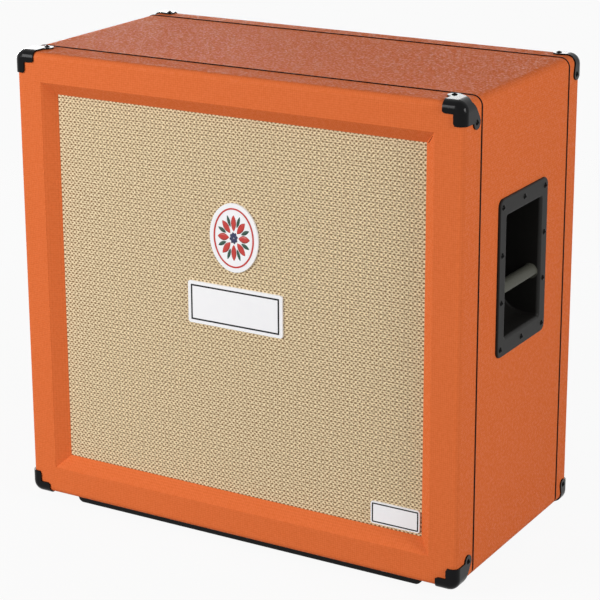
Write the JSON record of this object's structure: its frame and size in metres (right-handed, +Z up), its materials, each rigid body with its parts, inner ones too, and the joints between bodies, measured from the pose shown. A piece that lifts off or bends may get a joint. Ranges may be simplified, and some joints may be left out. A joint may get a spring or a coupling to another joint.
{
  "type": "guitar speaker cabinet",
  "caption": "Closed-back guitar speaker cabinet in orange vinyl with a bevelled front frame, tan grille cloth, recessed side handles, black corner protectors and floor skids.",
  "frame": {"origin": "on the floor, under the middle of the box", "axes": "+Z up, the grille faces -Y, +X to the right seen from the front"},
  "size_m": [0.772, 0.4, 0.7425],
  "materials": {
    "orange_vinyl": "orange woven-emboss vinyl, satin",
    "plywood": "birch plywood, raw",
    "black_board": "plywood painted black",
    "grille_fabric": "tan basketweave grille cloth",
    "piping_plastic": "black piping",
    "corner_plastic": "black moulded corner, satin",
    "handle_plastic": "dark grey moulded handle, fine grain",
    "skid_plastic": "black runner",
    "plate_plastic": "white plate with no lettering",
    "screw_steel": "black steel",
    "bolt_steel": "zinc-plated steel",
    "basket_steel": "pressed steel, painted",
    "magnet_ferrite": "ferrite ring between steel plates",
    "cone_paper": "paper pulp",
    "coil_wire": "wound coil on its former",
    "surround_cloth": "doped cloth",
    "spider_cloth": "resin-treated cloth",
    "gasket_cork": "cork strip",
    "tag_board": "tag strip",
    "dish_plastic": "black moulded dish",
    "jack_metal": "nickel-plated jack",
    "lead_sleeve": "insulated lead"
  },
  "bodies": {
    "cabinet": {"top_panel": "plywood", "bottom_panel": "plywood", "left_panel": "plywood", "right_panel": "plywood", "front_frame": "plywood", "front_battens": "plywood", "rear_battens": "plywood", "centre_post": "plywood", "baffle_board": "black_board", "back_panel": "black_board", "grille_cloth": "grille_fabric", "front_vinyl": "orange_vinyl", "middle_vinyl": "orange_vinyl", "rear_vinyl": "orange_vinyl", "piping": "piping_plastic", "front_corners": "corner_plastic", "rear_corners": "corner_plastic", "left_handle": "handle_plastic", "right_handle": "handle_plastic", "front_skid": "skid_plastic", "rear_skid": "skid_plastic", "badge_plates": "plate_plastic", "corner_screws": "screw_steel", "handle_screws": "screw_steel", "skid_screws": "screw_steel", "back_screws": "screw_steel", "input_dish": "dish_plastic", "jack_sockets": "jack_metal", "speaker_leads": "lead_sleeve", "speaker_gaskets": "gasket_cork", "speaker_bolts": "bolt_steel", "speaker_terminals": "tag_board", "basket_1": "basket_steel", "magnet_1": "magnet_ferrite", "surround_1": "surround_cloth", "spider_1": "spider_cloth", "basket_2": "basket_steel", "magnet_2": "magnet_ferrite", "surround_2": "surround_cloth", "spider_2": "spider_cloth", "basket_3": "basket_steel", "magnet_3": "magnet_ferrite", "surround_3": "surround_cloth", "spider_3": "spider_cloth", "basket_4": "basket_steel", "magnet_4": "magnet_ferrite", "surround_4": "surround_cloth", "spider_4": "spider_cloth"},
    "cone_assembly_1": {"cone_1": "cone_paper", "dust_cap_1": "cone_paper", "voice_coil_1": "coil_wire"},
    "cone_assembly_2": {"cone_2": "cone_paper", "dust_cap_2": "cone_paper", "voice_coil_2": "coil_wire"},
    "cone_assembly_3": {"cone_3": "cone_paper", "dust_cap_3": "cone_paper", "voice_coil_3": "coil_wire"},
    "cone_assembly_4": {"cone_4": "cone_paper", "dust_cap_4": "cone_paper", "voice_coil_4": "coil_wire"}
  },
  "joints": [
    {"name": "cone_travel_1", "type": "slide", "parent": "cabinet", "child": "cone_assembly_1", "axis": [0, -1, 0], "range_m": [-0.003, 0.003], "stiffness_N_per_m": 6000, "deforming": ["surround_1", "spider_1"]},
    {"name": "cone_travel_2", "type": "slide", "parent": "cabinet", "child": "cone_assembly_2", "axis": [0, -1, 0], "range_m": [-0.003, 0.003], "stiffness_N_per_m": 6000, "deforming": ["surround_2", "spider_2"]},
    {"name": "cone_travel_3", "type": "slide", "parent": "cabinet", "child": "cone_assembly_3", "axis": [0, -1, 0], "range_m": [-0.003, 0.003], "stiffness_N_per_m": 6000, "deforming": ["surround_3", "spider_3"]},
    {"name": "cone_travel_4", "type": "slide", "parent": "cabinet", "child": "cone_assembly_4", "axis": [0, -1, 0], "range_m": [-0.003, 0.003], "stiffness_N_per_m": 6000, "deforming": ["surround_4", "spider_4"]}
  ]
}
